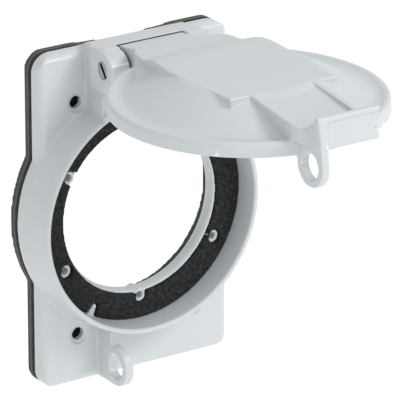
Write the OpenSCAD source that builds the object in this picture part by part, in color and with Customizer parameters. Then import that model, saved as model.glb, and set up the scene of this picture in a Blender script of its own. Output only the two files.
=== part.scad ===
// Weatherproof flip-lid cover plate for a flanged power inlet.
// X runs to the right, Z runs up, and the front of the plate faces -Y.
// The origin is on the collar's axis, in the plane of the wall.
// "Depth" means the distance in front of the wall, which is -Y.

/* [Cover plate] */
// Width of the plate
plate_w = 75.2; // [74:0.2:80]
// Height of the plate above the collar's axis
plate_up = 59.2; // [58.6:0.2:60]
// Height of the plate below the collar's axis
plate_down = 60; // [59.2:0.2:62]
// Thickness of the cast plate
plate_t = 5.3; // [4:0.1:6]
// Corner radius of the plate
plate_corner_r = 6.5; // [4:0.5:9]
// Radius of the plate's rounded front edge
plate_edge_r = 3.4; // [1:0.2:3.6]

/* [Wall screws] */
// Distance between the screw holes, across
screw_dx = 46; // [44:0.1:47]
// Distance between the screw holes, up and down
screw_dz = 83.3; // [82:0.1:86]
// Height of the middle of the screw pattern
screw_mid_z = -0.5; // [-1:0.1:1]
// Radius of a screw hole
screw_r = 2.2; // [1.8:0.1:2.6]

/* [Collar and inlet opening] */
// Depth of the collar's rim
rim_depth = 21.7; // [20.8:0.1:22]
// Inner radius of the collar at its rim
collar_in_r = 40.6; // [40.5:0.1:41]
// Outer radius of the collar at its rim
collar_out_r = 42.3; // [42:0.1:42.6]
// Outer radius of the collar at its root
collar_root_r = 43.6; // [43.2:0.1:44]
// Radius of the inlet opening at its throat
bore_r = 29.8; // [29:0.1:30]

/* [Inlet screw bosses] */
// Radius of the circle of the outer three bosses
outer_boss_circle_r = 34.2; // [33.8:0.1:35]
// Radius of the circle of the inner three bosses
inner_boss_circle_r = 32.2; // [32:0.1:32.6]
// Outer radius of a boss
boss_r = 2.35; // [2:0.05:2.5]
// Radius of the screw hole in a boss
boss_hole_r = 1.25; // [0.9:0.05:1.5]

/* [Gaskets] */
// Thickness of the foam gasket against the wall
wall_gasket_t = 4.6; // [3:0.1:5]
// Radius of the opening in the wall gasket
wall_gasket_r = 33.6; // [33:0.1:34]
// Thickness of the ring gasket under the inlet's flange
ring_gasket_t = 3; // [2.6:0.1:3.2]
// Thickness of the lid's gasket
lid_gasket_t = 2; // [1:0.1:2]

/* [Hinge] */
// Depth of the hinge pin's axis
axis_depth = 22; // [22:0.1:22.3]
// Radius of the hinge pin
pin_r = 2; // [1.5:0.1:2.4]
// Radial clearance of the lid on its pin
pin_clearance = 0.06; // [0.02:0.01:0.1]
// Half of the width over the two ears
ear_outer_x = 20.7; // [20:0.1:22]
// Half of the gap between the two ears
ear_inner_x = 13.4; // [12:0.1:14]
// Radius of the ears
ear_r = 6.3; // [5.5:0.1:6.5]
// Angle of the lid from closed, as modelled
lid_angle = 90; // [0:5:120]

/* [Lid] */
// Outer radius of the lid
lid_r = 46.2; // [46:0.1:46.4]
// Inner radius of the lid's skirt
skirt_in_r = 43.7; // [43.5:0.1:44]
// Height of the lid's skirt, from its lower edge to the rim bead
skirt_h = 5.2; // [4.8:0.1:5.6]
// Height of the flat crown above the rim bead
crown_h = 8.2; // [7.5:0.1:9]
// Radius of the flat crown, where the cone meets it
crown_r = 22.4; // [20:0.2:25]
// Radius of the cone's foot
cone_foot_r = 38.4; // [37:0.2:40]
// Wall thickness of the lid
lid_t = 2.7; // [2:0.1:3]

/* [Padlock tab and lug] */
// Radius of the padlock holes
padlock_r = 4.5; // [3.5:0.1:4.8]
// Outer radius of the tab and the lug
eye_r = 7; // [6.5:0.1:7.2]
// Depth of the padlock holes with the lid closed
padlock_depth = 20.4; // [20:0.1:21]
// Height of the padlock holes, below the collar's axis
padlock_down = 52; // [51.8:0.1:52.4]

/* [Hidden] */
$fn = 96;
eps = 0.01;

// Depths, counted from the wall
plate_back = wall_gasket_t;
plate_front = plate_back + plate_t;
web_front = 9.6;
web_back = 6.6;
bore_back = 5.8;
lip_top = 11.9;
block_front = rim_depth;
skirt_depth = rim_depth - 0.1;
bead_depth = skirt_depth + skirt_h;
crown_depth = bead_depth + crown_h;
lid_seat_depth = rim_depth + 0.3 + lid_gasket_t;

// Hinge: the lid's disc lies on the collar's axis when the lid is closed
axis_z = 55.6;
barrel_r = 6.2;
barrel_x = 12.3;
pocket_r = 7.35;
block_x = 19.3;
tongue_h = 6.5;
block_top_z = axis_z + tongue_h + 0.4;
recess_r = 3.05;
recess_x = ear_outer_x - 1.8;
ear_clear_r = 9.3;

// Lid details
heel_h = 2.7;
plateau_x = 22.5;
shoulder_x = 20.5;
shoulder_z = -20.8;
rib_out_x = 13.2;
rib_in_x = 10.8;
handle_z = -57;

// Lug on the base and tab on the lid
lug_x = -15.35;
lug_t = 3.2;
tab_x = -11.6;
tab_t = 2.8;

// ---------- helpers ----------

// Extrudes an outline drawn in the X-Z plane from depth a to depth b
module forward(a, b) {
    translate([0, -a, 0]) rotate([90, 0, 0]) linear_extrude(b - a) children();
}

// Turns a profile drawn as (radius, depth) about the collar's axis
module turned() {
    rotate([90, 0, 0]) rotate_extrude($fn = 180) children();
}

// Extrudes a side view drawn as (depth, height) across X from a to b
module across(a, b) {
    translate([a, 0, 0]) rotate([90, 0, 90]) linear_extrude(b - a) mirror([1, 0]) children();
}

// Extrudes a plan drawn as (x, depth) up Z from a to b
module upward(a, b) {
    translate([0, 0, a]) linear_extrude(b - a) mirror([0, 1]) children();
}

// A cylinder along X from a to b about the hinge's axis
module about_hinge(r, a, b) {
    translate([a, -axis_depth, axis_z]) rotate([0, 90, 0]) cylinder(r = r, h = b - a);
}

// Rectangle with round corners, from its lower-left corner
module round_rect(w, h, r) {
    translate([r, 0]) square([w - 2 * r, h]);
    translate([0, r]) square([w, h - 2 * r]);
    for (x = [r, w - r], y = [r, h - r]) translate([x, y]) circle(r);
}

// Places children at the four wall screws
module at_screws() {
    for (x = [-1, 1], z = [-1, 1])
        translate([x * screw_dx / 2, screw_mid_z + z * screw_dz / 2]) children();
}

// Places children at the six inlet screws: outer ones at 90, 210 and 330 degrees
module at_bosses() {
    for (i = [0:5]) {
        circle_r = i % 2 == 1 ? outer_boss_circle_r : inner_boss_circle_r;
        angle = 30 + 60 * i;
        translate([circle_r * cos(angle), circle_r * sin(angle)]) children();
    }
}

// Swings the closed lid to the modelled angle
module swung() {
    translate([0, -axis_depth, axis_z]) rotate([-lid_angle, 0, 0])
        translate([0, axis_depth, -axis_z]) children();
}

// Outline of the plate and the wall gasket
module plate_outline() {
    translate([-plate_w / 2, -plate_down]) round_rect(plate_w, plate_up + plate_down, plate_corner_r);
    circle(collar_root_r, $fn = 180);
}

// ---------- base ----------

// Flat plate with its front edge rounded on all four sides
module plate_slab() {
    h = plate_up + plate_down;
    intersection() {
        forward(plate_back, plate_front)
            translate([-plate_w / 2, -plate_down]) round_rect(plate_w, h, plate_corner_r);
        upward(-plate_down, plate_up)
            translate([-plate_w / 2, -plate_edge_r])
                round_rect(plate_w, plate_front + plate_edge_r, plate_edge_r);
        across(-plate_w / 2, plate_w / 2)
            translate([-plate_edge_r, -plate_down])
                round_rect(plate_front + plate_edge_r, h, plate_edge_r);
    }
}

// Collar, flange web and inlet opening as one turned profile
module collar() {
    lip_r = bore_r + 1.2;
    turned() polygon([
        [bore_r, 8], [bore_r, 10.4], [bore_r + 0.3, 11.2], [bore_r + 0.8, 11.75],
        [lip_r, lip_top], [lip_r, web_front], [collar_in_r - 0.3, web_front],
        [collar_in_r, rim_depth - 0.5], [collar_in_r + 0.4, rim_depth],
        [collar_out_r - 0.4, rim_depth], [collar_out_r, rim_depth - 0.4],
        [collar_out_r + 0.7, 13], [collar_root_r - 0.2, plate_front + 0.8],
        [collar_root_r, plate_front - 1], [collar_root_r, plate_back],
        [wall_gasket_r + 0.6, plate_back], [wall_gasket_r + 0.6, web_back],
        [bore_r + 2.9, web_back], [bore_r + 2.7, bore_back], [bore_r + 1.1, bore_back]
    ]);
}

// Fillet between the plate and the collar, kept inside the plate's outline
module collar_fillet() {
    fillet_r = 0.8;
    intersection() {
        turned() difference() {
            translate([collar_root_r - 1.2, plate_front - 1]) square([fillet_r + 1.2, fillet_r + 1]);
            translate([collar_root_r + fillet_r, plate_front + fillet_r]) circle(fillet_r);
        }
        forward(plate_back, rim_depth)
            translate([-plate_w / 2 + 2, -plate_down + 2])
                square([plate_w - 4, plate_up + plate_down - 4]);
    }
}

// Side view of the hinge block between the collar and the plate's top edge
module block_side() {
    polygon([
        [plate_back, 38], [block_front, 38], [block_front, block_top_z],
        [16, block_top_z - 0.1], [9.5, block_top_z - 0.9], [6.6, plate_up + 0.8],
        [plate_back, plate_up]
    ]);
}

// Ears and their gussets, in side view
module ear_side() {
    translate([axis_depth, axis_z]) circle(ear_r);
    polygon([
        [14, 47.6], [axis_depth + 0.4, 47.6], [axis_depth + ear_r - 0.12, axis_z - 1.2],
        [axis_depth, axis_z], [axis_depth, axis_z + ear_r], [14, block_top_z - 0.2]
    ]);
}

module hinge_block() {
    core_front = 13.2;
    difference() {
        union() {
            across(-block_x, block_x) block_side();
            for (side = [-1, 1]) scale([side, 1, 1]) across(ear_inner_x, ear_outer_x) ear_side();
        }
        // pocket for the lid's barrel
        about_hinge(pocket_r, -ear_inner_x, ear_inner_x);
        translate([-ear_inner_x, -40, axis_z - pocket_r])
            cube([2 * ear_inner_x, 40 - axis_depth, 20]);
        // core behind the block, hidden by the wall gasket
        translate([-15, -core_front, 46.5]) cube([30, core_front - plate_back + eps, 9.5]);
        // inside of the collar
        turned() translate([0, web_back]) square([collar_in_r, 30]);
        // groove that clears the lid's skirt
        turned() translate([collar_out_r + 0.9, block_front - 1.5]) square([5.6, 6]);
    }
}

// Side view of the padlock lug, with its step under the lid's skirt
module lug_side() {
    difference() {
        union() {
            polygon([
                [plate_front - 2, -padlock_down - eye_r], [padlock_depth, -padlock_down - eye_r],
                [padlock_depth, -padlock_down], [17.7, -46.2], [17.7, -40.6], [plate_front - 2, -40.6]
            ]);
            translate([padlock_depth, -padlock_down]) circle(eye_r);
        }
        translate([padlock_depth, -padlock_down]) circle(padlock_r);
    }
}

// Small wedge-shaped fin that keys the ring gasket
module gasket_fin(grow = 0) {
    fin_angle = 240;
    fin_in_r = 36.3 - grow;
    fin_out_r = collar_in_r + 0.3;
    tip = 0.6 + grow;
    foot = 1.4 + grow;
    rotate([0, -fin_angle, 0]) forward(web_front - 0.3, web_front + ring_gasket_t + 0.3)
        polygon([[fin_in_r, -tip], [fin_out_r, -foot], [fin_out_r, foot], [fin_in_r, tip]]);
}

module base_casting() {
    spot_front = plate_front - 0.7;
    screw_pad_t = 2.4;
    color("#cfd5d6")
    difference() {
        union() {
            difference() {
                union() {
                    plate_slab();
                    hinge_block();
                    collar_fillet();
                }
                // room for the turned collar and the opening behind its web
                turned() translate([0, plate_back - 1]) square([collar_in_r, 40]);
            }
            collar();
            forward(bore_back, lip_top) at_bosses() circle(boss_r);
            gasket_fin();
            difference() {
                across(lug_x, lug_x + lug_t) lug_side();
                turned() translate([0, plate_back]) square([collar_in_r + 0.5, 40]);
            }
        }
        forward(bore_back - 2, lip_top + 1) at_bosses() circle(boss_hole_r, $fn = 48);
        forward(plate_back - 1, plate_front + 1) at_screws() circle(screw_r, $fn = 48);
        forward(spot_front, plate_front + 1) at_screws() circle(screw_r + 1.2, $fn = 48);
        // cores behind the screw holes
        forward(plate_back - 1, spot_front - screw_pad_t) at_screws() circle(screw_r + 2.4, $fn = 48);
        about_hinge(pin_r, -ear_outer_x - 1, ear_outer_x + 1);
        about_hinge(recess_r, -ear_outer_x - 1, -recess_x);
        about_hinge(recess_r, recess_x, ear_outer_x + 1);
    }
}

// Foam gasket with a shallow scoop in its top edge
module wall_gasket() {
    scoop_r = 170;
    scoop = 1.3;
    color("#2b2a29")
    forward(0, wall_gasket_t) difference() {
        plate_outline();
        circle(wall_gasket_r, $fn = 180);
        at_screws() circle(screw_r, $fn = 48);
        translate([0, plate_up + scoop_r - scoop]) circle(scoop_r, $fn = 720);
    }
}

// Foam ring under the inlet's flange, cut out round the bosses and the fin. The part that
// stands proud of the bosses lies a little to the right of them, as laid in by hand.
module ring_gasket() {
    drift = [0.9, 0, -0.15];
    proud_from = lip_top + 0.1;
    color("#2c2f30")
    difference() {
        forward(web_front, web_front + ring_gasket_t) circle(collar_in_r - 0.4, $fn = 180);
        forward(web_front - 1, proud_from) {
            circle(bore_r + 1.5, $fn = 180);
            at_bosses() circle(boss_r + 0.4, $fn = 48);
        }
        translate(drift) forward(proud_from - eps, web_front + ring_gasket_t + 1) {
            circle(bore_r + 1.3, $fn = 180);
            at_bosses() circle(boss_r + 0.1, $fn = 48);
        }
        gasket_fin(0.3);
        translate(drift) gasket_fin(0.3);
    }
}

// ---------- hinge hardware ----------

// Pivot pin with a slotted head, seated in the left ear's recess
module hinge_pin() {
    head_t = 1.5;
    slot_w = 1.5;
    slot_deep = 1.6;
    color("#b9bcbb")
    difference() {
        union() {
            about_hinge(recess_r - 0.15, -recess_x - head_t, -recess_x);
            about_hinge(pin_r, -recess_x, recess_x + 1.1);
        }
        translate([-recess_x - head_t, -axis_depth, axis_z]) rotate([-37, 0, 0])
            cube([2 * slot_deep, slot_w, 8], center = true);
    }
}

// Push-on ring that holds the pin's far end in the right ear's recess
module pin_retainer() {
    color("#8d9090")
    difference() {
        about_hinge(recess_r - 0.15, recess_x, recess_x + 0.7);
        about_hinge(pin_r, recess_x - 1, recess_x + 2);
    }
}

// Washer between an ear and the lid's barrel, which holds the lid where it is put
module friction_washer(side) {
    washer_t = 0.8;
    color("#3b3d3e")
    scale([side, 1, 1]) difference() {
        about_hinge(5.2, ear_inner_x - washer_t, ear_inner_x);
        about_hinge(pin_r, 0, ear_outer_x);
    }
}

module friction_washer_left() {
    friction_washer(-1);
}

module friction_washer_right() {
    friction_washer(1);
}

// ---------- lid, drawn closed and then swung ----------

// Outer form of the disc: skirt, rim bead, shallow channel, cone and flat crown
module lid_disc() {
    turned() polygon([
        [0, skirt_depth], [lid_r - 0.3, skirt_depth], [lid_r, skirt_depth + 0.3],
        [lid_r, bead_depth - 1.1], [lid_r - 0.35, bead_depth - 0.35],
        [lid_r - 1.1, bead_depth], [lid_r - 2.2, bead_depth - 0.15],
        [42.6, bead_depth - 0.7], [40.6, bead_depth - 0.7],
        [cone_foot_r, bead_depth + 0.1], [crown_r + 1, crown_depth - 0.4],
        [crown_r - 1, crown_depth], [0, crown_depth]
    ]);
}

// Hollow inside of the lid, with the seat of its gasket
module lid_hollow() {
    turned() polygon([
        [0, skirt_depth - 1], [skirt_in_r, skirt_depth - 1], [skirt_in_r, lid_seat_depth],
        [37, lid_seat_depth], [36.6, bead_depth - 2.2], [crown_r - 0.6, crown_depth - lid_t],
        [0, crown_depth - lid_t]
    ]);
}

// Side view of the tongue and the plateau that runs over the crown
module plateau_side() {
    polygon([
        [axis_depth + 0.3, axis_z - 3], [axis_depth, axis_z], [axis_depth, axis_z + heel_h],
        [axis_depth + tongue_h, axis_z + heel_h], [30.2, 46.6], [30.4, 37.4], [31.2, 34.6],
        [33.6, 28.4], [34.6, 24.4], [crown_depth, 19], [crown_depth, shoulder_z],
        [bead_depth - 1, shoulder_z], [bead_depth - 1, 44], [axis_depth + 0.3, 44.4]
    ]);
}

// Plan of the tongue and the plateau: narrow between the ears, then flaring, and wider
// on the right, away from the slotted pin head
module plateau_plan() {
    wide_z = axis_z - ear_clear_r;
    polygon([
        [-barrel_x, axis_z + 3], [-barrel_x, wide_z + 1.9], [-barrel_x - 1.4, wide_z + 0.6],
        [-15, 43.6], [-17, 35.6], [-21.4, 21], [-plateau_x, 12],
        [-shoulder_x, shoulder_z], [shoulder_x, shoulder_z], [plateau_x, 15], [plateau_x, 34],
        [21.6, wide_z - 3], [20, wide_z - 0.4], [barrel_x + 1.6, wide_z],
        [barrel_x, wide_z + 1.2], [barrel_x, axis_z + 3]
    ]);
}

// Web that ramps down from the tongue's left edge to the disc
module tongue_ramp() {
    web_back = bead_depth - 1;
    hull() {
        upward(45.8, 46.2)
            polygon([[-barrel_x, web_back], [-barrel_x, 27.8], [-14, bead_depth], [-14, web_back]]);
        upward(30, 30.5) polygon([[-16, web_back], [-16, 29.3], [-24, 26.9], [-24, web_back]]);
    }
}

// Lifting handle: floor between two ribs, and an upturned front flange
module handle() {
    floor_in = crown_depth - 1;
    difference() {
        union() {
            across(-rib_out_x, rib_out_x) polygon([
                [bead_depth - 0.6, shoulder_z + 1], [floor_in, shoulder_z - 1],
                [30.2, -46], [30, -56], [bead_depth - 0.2, handle_z],
                [bead_depth - 0.2, -44], [bead_depth - 2, -40]
            ]);
            for (side = [-1, 1]) scale([side, 1, 1]) across(rib_in_x, rib_out_x) polygon([
                [bead_depth - 0.6, shoulder_z + 1], [crown_depth, shoulder_z + 1],
                [31.7, -48.4], [30, -50], [bead_depth - 0.2, -50], [bead_depth - 0.2, -44]
            ]);
        }
        // sides that draw in towards the flange
        for (side = [-1, 1]) forward(20, 40)
            polygon([[side * 11.6, -50], [side * 11.6, -60], [side * 20, -60], [side * 20, -44],
                     [side * rib_out_x, -44]]);
    }
    // front flange, wider at its free edge
    difference() {
        intersection() {
            across(-13, 13) polygon([
                [bead_depth - 0.2, handle_z - 0.6], [37.4, handle_z], [37.6, handle_z + 0.4],
                [37.6, handle_z + 1.9], [37.2, handle_z + 2.3], [30, handle_z + 3],
                [bead_depth - 0.2, handle_z + 3]
            ]);
            upward(-65, -45) polygon([
                [-11.6, 20], [-12, 38], [12, 38], [8.7, bead_depth - 0.3], [8.7, 20]
            ]);
        }
        // shallow panel in the flange's face
        across(-9.2, 20) polygon([
            [20, handle_z + 0.1], [35.6, handle_z + 0.6], [36, handle_z + 0.2], [36, -60], [20, -60]
        ]);
    }
}

// Side view of the padlock tab
module tab_side() {
    difference() {
        union() {
            polygon([
                [31.4, -47.6], [37.4, handle_z], [padlock_depth + 1, -padlock_down - eye_r + 0.1],
                [padlock_depth, -padlock_down], [padlock_depth, -padlock_down + eye_r],
                [bead_depth, -44.4]
            ]);
            translate([padlock_depth, -padlock_down]) circle(eye_r);
        }
        translate([padlock_depth, -padlock_down]) circle(padlock_r);
    }
}

module lid_casting() {
    color("#cfd5d6")
    swung() difference() {
        union() {
            difference() {
                union() {
                    lid_disc();
                    tongue_ramp();
                    intersection() {
                        across(-30, 30) plateau_side();
                        forward(axis_depth, crown_depth + 1) plateau_plan();
                    }
                    handle();
                }
                lid_hollow();
            }
            about_hinge(barrel_r, -barrel_x, barrel_x);
            across(tab_x, tab_x + tab_t) tab_side();
        }
        about_hinge(pin_r + pin_clearance, -barrel_x - 1, barrel_x + 1);
    }
}

// Foam ring in the lid that closes on the collar's rim
module lid_gasket() {
    color("#2c2f30")
    swung() forward(lid_seat_depth - lid_gasket_t, lid_seat_depth) difference() {
        circle(skirt_in_r - 0.3, $fn = 180);
        circle(37.6, $fn = 180);
    }
}

base_casting();
wall_gasket();
ring_gasket();
hinge_pin();
pin_retainer();
friction_washer_left();
friction_washer_right();
lid_casting();
lid_gasket();
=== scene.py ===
# %% [markdown]
# # A flip-lid cover plate for a power inlet
# The object is a die-cast aluminium cover plate for an outside wall. A round collar
# takes a flanged power inlet, foam gaskets keep rain out at the wall and under the
# inlet's flange, and a domed lid swings on a pin above the collar. The lid is shown
# standing straight out from the wall.

# %% [markdown]
# ## The frame
# The CAD model fixes where every piece is and how big it is. It is loaded first, and
# all that follows takes its places from the loaded nodes. The box of the whole object
# is kept now, while nothing has been added, to compare with the finished model.

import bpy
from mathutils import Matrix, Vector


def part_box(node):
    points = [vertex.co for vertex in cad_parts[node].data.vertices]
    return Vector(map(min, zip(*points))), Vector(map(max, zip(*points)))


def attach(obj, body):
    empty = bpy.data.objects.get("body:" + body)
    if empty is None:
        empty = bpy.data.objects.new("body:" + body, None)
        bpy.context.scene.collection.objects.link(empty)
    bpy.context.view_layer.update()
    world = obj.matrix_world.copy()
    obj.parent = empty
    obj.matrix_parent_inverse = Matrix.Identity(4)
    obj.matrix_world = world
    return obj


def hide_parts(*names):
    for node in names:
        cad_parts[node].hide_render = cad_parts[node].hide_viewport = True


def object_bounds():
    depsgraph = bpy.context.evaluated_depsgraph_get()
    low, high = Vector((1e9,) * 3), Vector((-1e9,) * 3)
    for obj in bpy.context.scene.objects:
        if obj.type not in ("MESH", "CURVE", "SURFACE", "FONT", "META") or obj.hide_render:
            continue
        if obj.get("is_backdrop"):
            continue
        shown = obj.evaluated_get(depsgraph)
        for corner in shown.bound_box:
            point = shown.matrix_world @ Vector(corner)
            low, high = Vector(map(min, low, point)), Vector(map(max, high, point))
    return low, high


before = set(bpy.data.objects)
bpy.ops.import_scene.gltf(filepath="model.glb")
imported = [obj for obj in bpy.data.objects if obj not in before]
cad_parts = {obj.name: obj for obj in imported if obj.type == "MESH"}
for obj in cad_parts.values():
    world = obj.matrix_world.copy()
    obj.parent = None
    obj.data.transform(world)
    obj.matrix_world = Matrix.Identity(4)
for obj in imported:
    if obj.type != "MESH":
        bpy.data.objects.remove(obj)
cad_low, cad_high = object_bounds()
print("nodes:", sorted(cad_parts))
print("CAD box in mm:", [round(1000 * v, 1) for v in (*cad_low, *cad_high)])

# %% Units and Blender's modules
import math

import bmesh
import bpy
from mathutils import Vector

MM = 0.001
scene = bpy.context.scene
root = scene.collection

# %% [markdown]
# ## The camera
# A product shot like this is taken with a long lens from some way off, so that the
# parallel edges of the plate stay almost parallel. The camera stands to the left of
# the plate and a little above it, and looks at a point between the collar and the lid.

# %% Camera
CAMERA_AZIMUTH = math.radians(-33.36)
CAMERA_ELEVATION = math.radians(21.11)
CAMERA_DISTANCE = 1.597
LENS_MM = 434.8
aim_point = Vector((0.6, -48.5, 14.0)) * MM


def direction(azimuth, elevation):
    """The way from the object to something that stands at those angles, in radians."""
    across = math.cos(elevation)
    return Vector((math.sin(azimuth) * across, -math.cos(azimuth) * across, math.sin(elevation)))


camera = bpy.data.objects.new("camera", bpy.data.cameras.new("camera"))
camera.data.lens = LENS_MM
camera.data.clip_end = 50
camera_back = direction(CAMERA_AZIMUTH, CAMERA_ELEVATION)
camera.location = aim_point + camera_back * CAMERA_DISTANCE
camera.rotation_mode = "QUATERNION"
camera.rotation_quaternion = (-camera_back).to_track_quat("-Z", "Y")
root.objects.link(camera)
scene.camera = camera
print("camera at", [round(v, 3) for v in camera.location])

# %% [markdown]
# ## Colours and nodes
# Colours are written as the hex values that a paint or web chart gives, which are
# sRGB. The renderer adds up light, so it needs linear values, and one function does
# the turning. Another function adds a shader node with its settings and its links, so
# that each material below reads as a short list of nodes.


# %% Colour and node helpers
def linear(hex_colour):
    """Linear red, green, blue and alpha of an sRGB hex colour such as #C8CDCF."""
    channels = [int(hex_colour[i : i + 2], 16) / 255 for i in (1, 3, 5)]
    return (*[c / 12.92 if c <= 0.04045 else ((c + 0.055) / 1.055) ** 2.4 for c in channels], 1)


def add_node(tree, kind, settings=None, links=None):
    """Adds a node. A setting is an input's name or number, or else an attribute."""
    node = tree.nodes.new(kind)
    for key, value in (settings or {}).items():
        if isinstance(key, int) or key in node.inputs:
            node.inputs[key].default_value = value
        else:
            setattr(node, key, value)
    for key, socket in (links or {}).items():
        tree.links.new(socket, node.inputs[key])
    return node


def start_material(name):
    """A new material with only its output node, and the object's own coordinates."""
    material = bpy.data.materials.new(name)
    material.use_nodes = True
    tree = material.node_tree
    tree.nodes.clear()
    output = add_node(tree, "ShaderNodeOutputMaterial")
    place = add_node(tree, "ShaderNodeTexCoord").outputs["Object"]
    return material, tree, output, place


def per_metre(size_mm):
    """The scale that makes a pattern's features about that many millimetres wide."""
    return 1 / (size_mm * MM)


# %% [markdown]
# ## Studio
# The plate is shot on plain white: a pale floor far below it, so that its shadow falls
# out of the picture. Like a light table the floor glows a little, which keeps it white
# and fills the lid's underside and skirt. The room is an even fill, a little brighter
# towards the front and right. The key is a
# soft box high to the front and right: it throws the lid's and the collar's shadows to
# the left and down on the plate, and they are what shows the form. A weaker box in
# front opens those shadows, and a last one lights the faces turned to the left.

# %% Floor
FLOOR_DROP = 0.30
FLOOR_SIZE = 30.0
FLOOR_GLOW = 0.2

floor_mesh = bpy.data.meshes.new("floor")
floor_shape = bmesh.new()
bmesh.ops.create_grid(floor_shape, x_segments=1, y_segments=1, size=FLOOR_SIZE / 2)
bmesh.ops.translate(floor_shape, verts=floor_shape.verts, vec=(0, 0, cad_low.z - FLOOR_DROP))
floor_shape.to_mesh(floor_mesh)
floor_shape.free()
floor = bpy.data.objects.new("floor", floor_mesh)
root.objects.link(floor)
floor_paint, tree, output, place = start_material("floor_matt_white")
shader = add_node(
    tree,
    "ShaderNodeBsdfPrincipled",
    {
        "Base Color": linear("#FAFAFA"),
        "Roughness": 0.9,
        "Specular IOR Level": 0.1,
        "Emission Color": (1, 1, 1, 1),
        "Emission Strength": FLOOR_GLOW,
    },
)
tree.links.new(shader.outputs["BSDF"], output.inputs["Surface"])
floor_mesh.materials.append(floor_paint)
floor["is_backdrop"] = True
print("floor at z in mm:", round((cad_low.z - FLOOR_DROP) / MM, 1))

# %% Room light
ROOM_BRIGHT = 0.86
ROOM_DIM = 0.62
BRIGHT_AZIMUTH = math.radians(50)
BRIGHT_ELEVATION = math.radians(25)
room = bpy.data.worlds.new("studio_room")
scene.world = room
room.use_nodes = True
tree = room.node_tree
tree.nodes.clear()
looking = add_node(tree, "ShaderNodeTexCoord").outputs["Generated"]
towards_bright = direction(BRIGHT_AZIMUTH, BRIGHT_ELEVATION)
share = add_node(
    tree,
    "ShaderNodeVectorMath",
    {"operation": "DOT_PRODUCT", 1: towards_bright},
    {0: looking},
)
level = add_node(
    tree,
    "ShaderNodeMapRange",
    {"From Min": -1, "From Max": 1, "To Min": ROOM_DIM, "To Max": ROOM_BRIGHT},
    {"Value": share.outputs["Value"]},
)
glow = add_node(
    tree, "ShaderNodeBackground", {"Color": (1, 1, 1, 1)}, {"Strength": level.outputs["Result"]}
)
add_node(tree, "ShaderNodeOutputWorld", links={"Surface": glow.outputs["Background"]})
print("room light:", room.name, ROOM_DIM, "to", ROOM_BRIGHT)


# %% Soft boxes
LAMP_DISTANCE = 1.3


def soft_box(name, azimuth, elevation, size, watts):
    """A square area light that faces the object. Angles in degrees, size in metres."""
    lamp = bpy.data.objects.new(name, bpy.data.lights.new(name, "AREA"))
    lamp.data.size = size
    lamp.data.energy = watts
    away = direction(math.radians(azimuth), math.radians(elevation))
    lamp.location = aim_point + away * LAMP_DISTANCE
    lamp.rotation_mode = "QUATERNION"
    lamp.rotation_quaternion = (-away).to_track_quat("-Z", "Y")
    lamp.visible_camera = False
    root.objects.link(lamp)
    return lamp


soft_box("key_high_front_right", azimuth=35, elevation=40, size=0.4, watts=6.0)
soft_box("front_fill", azimuth=-10, elevation=15, size=0.7, watts=1.8)
soft_box("left_fill", azimuth=-85, elevation=20, size=0.9, watts=0.7)
soft_box("top_light", azimuth=20, elevation=80, size=0.9, watts=0.8)
scene.view_settings.view_transform = "Standard"

# %% [markdown]
# ## Powder-coated casting
# The plate and the lid are aluminium, cast in a steel die and then powder coated in
# light grey. Baked powder flows out into a satin skin with a faint orange peel, about
# a millimetre from crest to crest, and rounds every edge. Under it the casting is not
# quite flat, which shows as a slow change in the gloss. A few dust nibs are baked in.
# The paint is no metal: it is a plain plastic with an IOR of 1.5 over the aluminium.

# %% Powder coat
ORANGE_PEEL_MM = 1.1
ORANGE_PEEL_DEPTH_MM = 0.006
FLOW_MM = 14
DUST_SPACING_MM = 9
DUST_RADIUS_MM = 0.16
DUST_EDGE = 0.3

powder_coat, tree, output, place = start_material("aluminium_die_cast_grey_powder_coat_satin")
peel = add_node(
    tree,
    "ShaderNodeTexNoise",
    {"Scale": per_metre(ORANGE_PEEL_MM), "Detail": 2.0, "Roughness": 0.45},
    {"Vector": place},
)
flow = add_node(
    tree,
    "ShaderNodeTexNoise",
    {"Scale": per_metre(FLOW_MM), "Detail": 3.0, "Roughness": 0.5},
    {"Vector": place},
)
dust = add_node(
    tree,
    "ShaderNodeTexVoronoi",
    {"Scale": per_metre(DUST_SPACING_MM), "Randomness": 1.0},
    {"Vector": place},
)
# the speck's radius is a share of the spacing, because the distance is in cells
speck = add_node(
    tree,
    "ShaderNodeMapRange",
    {
        "From Min": (1 - DUST_EDGE) * DUST_RADIUS_MM / DUST_SPACING_MM,
        "From Max": (1 + DUST_EDGE) * DUST_RADIUS_MM / DUST_SPACING_MM,
        "To Min": 1.0,
        "To Max": 0.0,
    },
    {"Value": dust.outputs["Distance"]},
)
tone = add_node(
    tree,
    "ShaderNodeMix",
    {"data_type": "RGBA", 6: linear("#C0C5C7"), 7: linear("#C6CBCD")},
    {0: flow.outputs["Fac"]},
)
colour = add_node(
    tree,
    "ShaderNodeMix",
    {"data_type": "RGBA", 7: linear("#7C8081")},
    {0: speck.outputs["Result"], 6: tone.outputs[2]},
)
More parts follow.
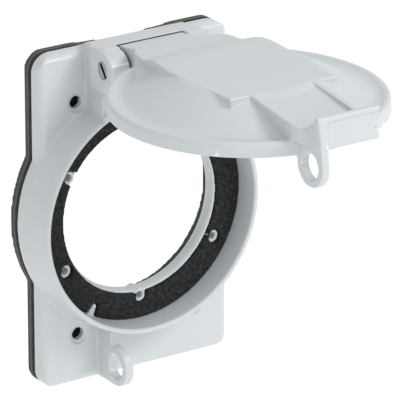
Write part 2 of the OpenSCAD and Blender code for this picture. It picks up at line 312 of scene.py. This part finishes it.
# painted highlight and painted shade: sharp edges, found by the mesh's pointiness, are
# lightened to a pale hairline as a painted highlight, and creases are darkened as painted shade
bend = add_node(tree, "ShaderNodeNewGeometry").outputs["Pointiness"]
painted_edge_highlight = add_node(
    tree,
    "ShaderNodeMapRange",
    {"From Min": 0.53, "From Max": 0.60, "To Min": 0.0, "To Max": 0.65},
    {"Value": bend},
)
painted_crease_shade = add_node(
    tree,
    "ShaderNodeMapRange",
    {"From Min": 0.47, "From Max": 0.40, "To Min": 0.0, "To Max": 0.5},
    {"Value": bend},
)
# painted highlight: a pale hairline mixed in on sharp edges
coat_with_edge_highlight = add_node(
    tree,
    "ShaderNodeMix",
    {"data_type": "RGBA", 7: linear("#F2F4F4")},
    {0: painted_edge_highlight.outputs["Result"], 6: colour.outputs[2]},
)
# painted shade: creases darkened over the coat
coat = add_node(
    tree,
    "ShaderNodeMix",
    {"data_type": "RGBA", 7: linear("#7F8486")},
    {0: painted_crease_shade.outputs["Result"], 6: coat_with_edge_highlight.outputs[2]},
)
gloss = add_node(
    tree,
    "ShaderNodeMapRange",
    {"From Min": 0.3, "From Max": 0.7, "To Min": 0.32, "To Max": 0.40},
    {"Value": flow.outputs["Fac"]},
)
skin = add_node(
    tree,
    "ShaderNodeBump",
    {"Strength": 1.0, "Distance": ORANGE_PEEL_DEPTH_MM * MM},
    {"Height": peel.outputs["Fac"]},
)
shader = add_node(
    tree,
    "ShaderNodeBsdfPrincipled",
    {"IOR": 1.5, "Metallic": 0.0},
    {
        "Base Color": coat.outputs[2],
        "Roughness": gloss.outputs["Result"],
        "Normal": skin.outputs["Normal"],
    },
)
tree.links.new(shader.outputs["BSDF"], output.inputs["Surface"])
print("made", powder_coat.name)

# %% [markdown]
# ## Closed-cell foam
# The gaskets are die-cut from sheets of closed-cell rubber foam. The sheet has a
# smooth skin with tiny pinholes, and the cut edge shows the cells. The wall gasket is
# thick and split from a bun, so its edge shows layers: a grey-brown middle between
# darker faces. Both are matt, with only a little sheen at a grazing angle.


# %% Foam
def foam(name, dark, light, cell_mm, bands=None):
    """Closed-cell foam. Bands are (depth in front of the wall in mm, colour)."""
    waver_mm = 0.35
    band_share = 0.7
    pinhole_depth_mm = 0.08
    material, tree, output, place = start_material(name)
    cells = add_node(
        tree,
        "ShaderNodeTexVoronoi",
        {"Scale": per_metre(cell_mm), "Randomness": 1.0},
        {"Vector": place},
    )
    mottle = add_node(
        tree,
        "ShaderNodeTexNoise",
        {"Scale": per_metre(cell_mm * 4), "Detail": 4.0, "Roughness": 0.65},
        {"Vector": place},
    )
    patches = add_node(
        tree,
        "ShaderNodeMapRange",
        {"From Min": 0.42, "From Max": 0.72},
        {"Value": mottle.outputs["Fac"]},
    )
    surface = add_node(
        tree,
        "ShaderNodeMix",
        {"data_type": "RGBA", 6: linear(dark), 7: linear(light)},
        {0: patches.outputs["Result"]},
    )
    base = surface.outputs[2]
    if bands:
        split = add_node(tree, "ShaderNodeSeparateXYZ", links={"Vector": place})
        waver = add_node(
            tree,
            "ShaderNodeMapRange",
            {"To Min": -waver_mm * MM, "To Max": waver_mm * MM},
            {"Value": mottle.outputs["Fac"]},
        )
        depth = add_node(
            tree,
            "ShaderNodeMath",
            {"operation": "ADD"},
            {0: split.outputs["Y"], 1: waver.outputs["Result"]},
        )
        thickness = bands[-1][0]
        across = add_node(
            tree,
            "ShaderNodeMapRange",
            {"From Min": 0.0, "From Max": -thickness * MM},
            {"Value": depth.outputs["Value"]},
        )
        ramp = add_node(tree, "ShaderNodeValToRGB", links={"Fac": across.outputs["Result"]})
        while len(ramp.color_ramp.elements) < len(bands):
            ramp.color_ramp.elements.new(0.5)
        for element, (band_depth, band_colour) in zip(ramp.color_ramp.elements, bands):
            element.position = band_depth / thickness
            element.color = linear(band_colour)
        layered = add_node(
            tree,
            "ShaderNodeMix",
            {"data_type": "RGBA", 0: band_share},
            {6: base, 7: ramp.outputs["Color"]},
        )
        base = layered.outputs[2]
    relief = add_node(
        tree,
        "ShaderNodeBump",
        {"Strength": 0.8, "Distance": pinhole_depth_mm * MM},
        {"Height": cells.outputs["Distance"]},
    )
    shader = add_node(
        tree,
        "ShaderNodeBsdfPrincipled",
        {"Roughness": 0.86, "IOR": 1.35, "Sheen Weight": 0.05, "Sheen Roughness": 0.5},
        {"Base Color": base, "Normal": relief.outputs["Normal"]},
    )
    tree.links.new(shader.outputs["BSDF"], output.inputs["Surface"])
    return material


WALL_CELL_MM = 0.7
RING_CELL_MM = 0.35
wall_bands = [
    (0.0, "#3A3938"),
    (1.5, "#454543"),
    (2.6, "#676964"),
    (3.2, "#2F3030"),
    (4.6, "#202122"),
]
wall_foam = foam(
    "rubber_foam_closed_cell_split_grey_black", "#2C2C2B", "#565650", WALL_CELL_MM, wall_bands
)
ring_foam = foam(
    "rubber_foam_closed_cell_skinned_charcoal", "#121314", "#36393B", RING_CELL_MM
)
print("made", wall_foam.name, "and", ring_foam.name)

# %% [markdown]
# ## Zinc-plated steel
# The pin and its push-on ring are turned from mild steel and zinc plated, which gives a
# slightly bluish satin grey with fine turning marks. The slot in the head is painted
# near black as painted shade.

# %% Zinc-plated steel
TURNING_MM = 0.25
SCRATCH_DEPTH_MM = 0.01
# depths below the head's face over which the slot's painted shade fades in
SLOT_SHADE_FROM_MM = 0.1
SLOT_SHADE_FULL_MM = 0.25
zinc_steel, tree, output, place = start_material("steel_turned_zinc_plated_satin")
marks = add_node(
    tree,
    "ShaderNodeTexNoise",
    {"Scale": per_metre(TURNING_MM), "Detail": 3.0, "Roughness": 0.6},
    {"Vector": place},
)
blotch = add_node(
    tree,
    "ShaderNodeMapRange",
    {"From Min": 0.3, "From Max": 0.7, "To Min": 0.34, "To Max": 0.52},
    {"Value": marks.outputs["Fac"]},
)
plating = add_node(
    tree,
    "ShaderNodeMix",
    {"data_type": "RGBA", 6: linear("#A9ADAE"), 7: linear("#C2C5C4")},
    {0: marks.outputs["Fac"]},
)
# painted shade: all that lies deeper than the head's face, which is the slot, is painted near
# black
end_x_mm = min(abs(corner.x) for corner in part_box("hinge_pin")) / MM
split = add_node(tree, "ShaderNodeSeparateXYZ", links={"Vector": place})
from_middle = add_node(
    tree, "ShaderNodeMath", {"operation": "ABSOLUTE"}, {0: split.outputs["X"]}
)
painted_slot_shade = add_node(
    tree,
    "ShaderNodeMapRange",
    {
        "From Min": (end_x_mm - SLOT_SHADE_FULL_MM) * MM,
        "From Max": (end_x_mm - SLOT_SHADE_FROM_MM) * MM,
        "To Min": 1.0,
        "To Max": 0.0,
    },
    {"Value": from_middle.outputs["Value"]},
)
# painted shade: the slot's near black mixed over the plating
plating = add_node(
    tree,
    "ShaderNodeMix",
    {"data_type": "RGBA", 7: linear("#0C0C0D")},
    {0: painted_slot_shade.outputs["Result"], 6: plating.outputs[2]},
)
scratches = add_node(
    tree,
    "ShaderNodeBump",
    {"Strength": 0.4, "Distance": SCRATCH_DEPTH_MM * MM},
    {"Height": marks.outputs["Fac"]},
)
shader = add_node(
    tree,
    "ShaderNodeBsdfPrincipled",
    {"Metallic": 1.0},
    {
        "Base Color": plating.outputs[2],
        "Roughness": blotch.outputs["Result"],
        "Normal": scratches.outputs["Normal"],
    },
)
tree.links.new(shader.outputs["BSDF"], output.inputs["Surface"])

print("made", zinc_steel.name)

# %% [markdown]
# ## Black nylon
# The friction washers between the ears and the lid's barrel are moulded in black nylon,
# which slides on paint without scoring it. The mould leaves a fine matt grain.

# %% Black nylon
MOULD_GRAIN_MM = 0.3
GRAIN_DEPTH_MM = 0.02
black_nylon, tree, output, place = start_material("nylon_moulded_black_matt")
grain = add_node(
    tree,
    "ShaderNodeTexNoise",
    {"Scale": per_metre(MOULD_GRAIN_MM), "Detail": 2.0},
    {"Vector": place},
)
dye = add_node(
    tree,
    "ShaderNodeMix",
    {"data_type": "RGBA", 6: linear("#28292A"), 7: linear("#38393A")},
    {0: grain.outputs["Fac"]},
)
mould_skin = add_node(
    tree,
    "ShaderNodeBump",
    {"Strength": 0.5, "Distance": GRAIN_DEPTH_MM * MM},
    {"Height": grain.outputs["Fac"]},
)
shader = add_node(
    tree,
    "ShaderNodeBsdfPrincipled",
    {"Roughness": 0.55, "IOR": 1.53},
    {"Base Color": dye.outputs[2], "Normal": mould_skin.outputs["Normal"]},
)
tree.links.new(shader.outputs["BSDF"], output.inputs["Surface"])

print("made", black_nylon.name)

# %% [markdown]
# ## Turning drawn shapes into castings
# The CAD bodies have true sizes but knife-sharp edges, which no casting has: the die
# is radiused, and the powder builds a skin over every corner. A bevel would need clean
# edge loops, and these bodies are loose triangles. So a copy is merged into one closed
# shell and rebuilt as an even grid of small faces by a voxel remesh, and a few passes
# of smoothing melt its edges and fill its corners by about the voxel's size, as the
# die's radii and the powder do. On the castings most of the small faces on flat walls
# are then thinned out again.


# %% Merged copies and soft skins
SEAM_MM = 0.0005


def merged_copy(node, name):
    """A copy of a CAD node's mesh, merged into one closed shell, as a new object."""
    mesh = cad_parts[node].data.copy()
    mesh.name = name
    mesh.materials.clear()
    shell = bmesh.new()
    shell.from_mesh(mesh)
    bmesh.ops.remove_doubles(shell, verts=shell.verts, dist=SEAM_MM * MM)
    shell.to_mesh(mesh)
    shell.free()
    piece = bpy.data.objects.new(name, mesh)
    root.objects.link(piece)
    return piece


def settle(piece):
    """Applies the piece's modifiers, so that its finished mesh is what is kept."""
    graph = bpy.context.evaluated_depsgraph_get()
    finished = bpy.data.meshes.new_from_object(piece.evaluated_get(graph))
    piece.modifiers.clear()
    piece.data = finished
    return piece


def soften(piece, voxel_mm, passes, keep=1.0):
    """Rebuilds the piece in voxels and smooths it, which rounds its edges and corners.

    Of the grid's triangles only the share to keep is left, mostly where the form bends.
    """
    grid = piece.modifiers.new("grid", "REMESH")
    grid.mode = "VOXEL"
    grid.voxel_size = voxel_mm * MM
    grid.use_smooth_shade = True
    melt = piece.modifiers.new("melt", "SMOOTH")
    melt.factor = 0.5
    melt.iterations = passes
    if keep < 1:
        thin_out = piece.modifiers.new("thin_out", "DECIMATE")
        thin_out.ratio = keep
    settle(piece)
    triangles = sum(len(p.vertices) - 2 for p in piece.data.polygons)
    print(f"{piece.name}: {triangles} triangles")
    return piece


def finish_piece(piece, body, node, material):
    """Gives the piece its material, sets it on the body it rides on, and hides the CAD node."""
    piece.data.materials.clear()
    piece.data.materials.append(material)
    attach(piece, body)
    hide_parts(node)
    return piece


# %% [markdown]
# ## The two castings
# The base is the plate with its collar, hinge ears and padlock lug, and the lid is the
# domed disc with its tongue, handle and padlock tab. Each is one casting, so each is
# one piece here.

# %% Castings
CASTING_VOXEL_MM = 0.34
CASTING_PASSES = 3
CASTING_KEEP = 0.2

for node, name, body in (
    ("base_casting", "base_cast_skin", "base"),
    ("lid_casting", "lid_cast_skin", "lid"),
):
    cast = soften(merged_copy(node, name), CASTING_VOXEL_MM, CASTING_PASSES, CASTING_KEEP)
    finish_piece(cast, body, node, powder_coat)

# %% [markdown]
# ## The foam gaskets
# Foam has no sharp edge either: the cutting die pulls its rim round. The same
# softening is used, with a finer grid on the thin ring.

# %% Gaskets
# node, body, slot, material, voxel in mm, passes of smoothing
for node, body, slot, material, voxel_mm, passes in (
    ("wall_gasket", "base", "wall_foam", wall_foam, 0.6, 4),
    ("ring_gasket", "base", "ring_foam", ring_foam, 0.4, 3),
    ("lid_gasket", "lid", "ring_foam", ring_foam, 0.5, 4),
):
    gasket = soften(merged_copy(node, f"{node}_foam"), voxel_mm, passes)
    finish_piece(gasket, body, node, material)

# %% [markdown]
# ## The hinge hardware
# The pin is a turned rod with a slotted head, held by a push-on ring at its far end, and
# a washer sits at each end of the lid's barrel. They are small, so the grid is as fine
# as the small chamfers that turning and moulding leave on their edges.

# %% Hinge hardware
# node, name, slot, material, voxel in mm, passes of smoothing
for node, name, slot, material, voxel_mm, passes in (
    ("hinge_pin", "hinge_pin_steel", "pin_steel", zinc_steel, 0.14, 3),
    ("pin_retainer", "pin_retainer_ring", "pin_steel", zinc_steel, 0.12, 2),
    ("friction_washer_left", "friction_washer_left_nylon", "washer_nylon", black_nylon, 0.12, 2),
    ("friction_washer_right", "friction_washer_right_nylon", "washer_nylon", black_nylon, 0.12, 2),
):
    hardware = soften(merged_copy(node, name), voxel_mm, passes)
    finish_piece(hardware, "base", node, material)

# %% Compare the finished box with the CAD box
low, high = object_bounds()
changes = [abs(a - b) / MM for a, b in zip((*low, *high), (*cad_low, *cad_high))]
print("largest change in mm:", round(max(changes), 2))
